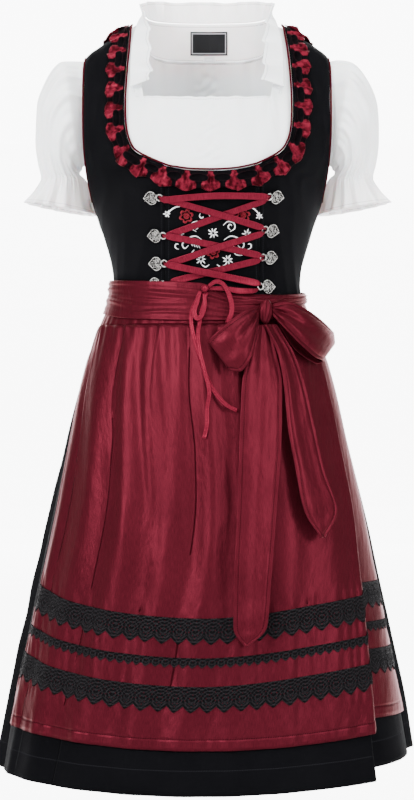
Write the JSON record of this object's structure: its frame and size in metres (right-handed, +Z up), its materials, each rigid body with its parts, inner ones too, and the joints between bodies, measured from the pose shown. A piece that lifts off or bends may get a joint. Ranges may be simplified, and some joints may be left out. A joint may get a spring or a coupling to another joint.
{
  "type": "dirndl",
  "caption": "Laced bodice dress with a gathered skirt, satin apron tied in a bow and a white puff-sleeved blouse, in its worn shape.",
  "frame": {"origin": "middle of the shoulders, level with the neck edge of the dress, where the wearer holds it up", "axes": "+Z up, the front faces -Y, +X is the picture's right"},
  "size_m": [0.5414, 0.3757, 1.0183],
  "materials": {
    "bodice": "black cotton, closely woven",
    "skirt": "black cotton, closely woven",
    "piping": "dark red satin cord",
    "ruche": "black ribbon pleated with dark red satin",
    "apron": "burgundy satin",
    "lace": "black guipure lace",
    "hooks": "antique silver, darkened in the relief",
    "ribbon": "burgundy satin ribbon",
    "blouse": "white cotton",
    "label": "plain black woven label",
    "tab": "blank white tab"
  },
  "bodies": {
    "root": {"bodice_front_centre": "bodice", "bodice_front_left": "bodice", "bodice_front_right": "bodice", "bodice_back": "bodice", "skirt_front": "skirt", "skirt_back": "skirt", "neck_piping": "piping", "armhole_piping_left": "piping", "armhole_piping_right": "piping", "neck_ruche": "ruche", "apron_skirt": "apron", "apron_waistband": "apron", "sash": "apron", "bow_knot": "apron", "bow_loop_left": "apron", "bow_loop_right": "apron", "bow_tail_left": "apron", "bow_tail_right": "apron", "lace_upper": "lace", "lace_middle": "lace", "lace_lower": "lace", "hook_left_1": "hooks", "hook_left_2": "hooks", "hook_left_3": "hooks", "hook_left_4": "hooks", "hook_right_1": "hooks", "hook_right_2": "hooks", "hook_right_3": "hooks", "hook_right_4": "hooks", "lacing_1": "ribbon", "lacing_2": "ribbon", "lacing_3": "ribbon", "lacing_4": "ribbon", "lacing_5": "ribbon", "lacing_6": "ribbon", "lacing_7": "ribbon", "lacing_8": "ribbon", "lacing_loop_left": "ribbon", "lacing_loop_right": "ribbon", "lacing_tail_long": "ribbon", "lacing_tail_short": "ribbon", "lacing_knot": "ribbon", "blouse_front": "blouse", "blouse_back": "blouse", "collar_band": "blouse", "collar_frill": "blouse", "sleeve_left": "blouse", "sleeve_right": "blouse", "neck_label": "label", "size_tab": "tab"}
  },
  "joints": []
}
